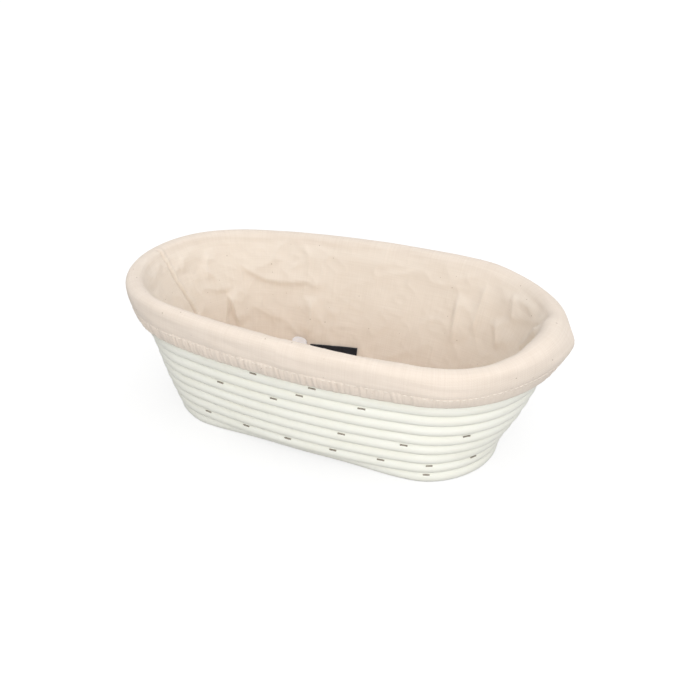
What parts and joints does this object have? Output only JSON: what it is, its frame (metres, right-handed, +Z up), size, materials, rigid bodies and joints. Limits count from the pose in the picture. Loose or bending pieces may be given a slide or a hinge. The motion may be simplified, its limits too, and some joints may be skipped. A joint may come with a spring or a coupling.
{
  "type": "proofing basket",
  "caption": "Oval proofing basket wound from round canes, with a lift-out cloth liner that turns over the rim and is held by an elastic hem.",
  "frame": {"origin": "middle of the underside of the base, on the surface the basket stands on", "axes": "+X along the long side of the oval, +Y across it to the side with the cane scarfs, +Z up out of the mouth"},
  "size_m": [0.25, 0.15, 0.0842],
  "materials": {
    "slat_wood": "bare split wood",
    "cane": "smooth bare cane with fine grain",
    "staple_wire": "dull wire",
    "liner_cloth": "plain woven undyed cotton and linen",
    "elastic": "woven elastic",
    "thread": "cotton thread",
    "black_label": "woven, bare",
    "white_label": "satin, bare"
  },
  "bodies": {
    "basket": {"base_slat": "slat_wood", "base_cane": "cane", "lower_wall_cane": "cane", "middle_wall_cane": "cane", "upper_wall_cane": "cane", "rim_cane": "cane", "base_staples": "staple_wire", "lower_wall_staples": "staple_wire", "upper_wall_staples": "staple_wire"},
    "liner": {"liner_floor": "liner_cloth", "liner_wall": "liner_cloth", "liner_cuff": "liner_cloth", "hem_casing": "liner_cloth", "hem_elastic": "elastic", "floor_thread": "thread", "side_thread": "thread", "hem_thread": "thread", "black_label": "black_label", "white_label": "white_label"}
  },
  "joints": [
    {"name": "liner_lift", "type": "slide", "parent": "basket", "child": "liner", "axis": [0, 0, 1], "range_m": [0, 0.1], "deforming": ["liner_cuff", "hem_casing", "hem_elastic", "hem_thread"]}
  ]
}
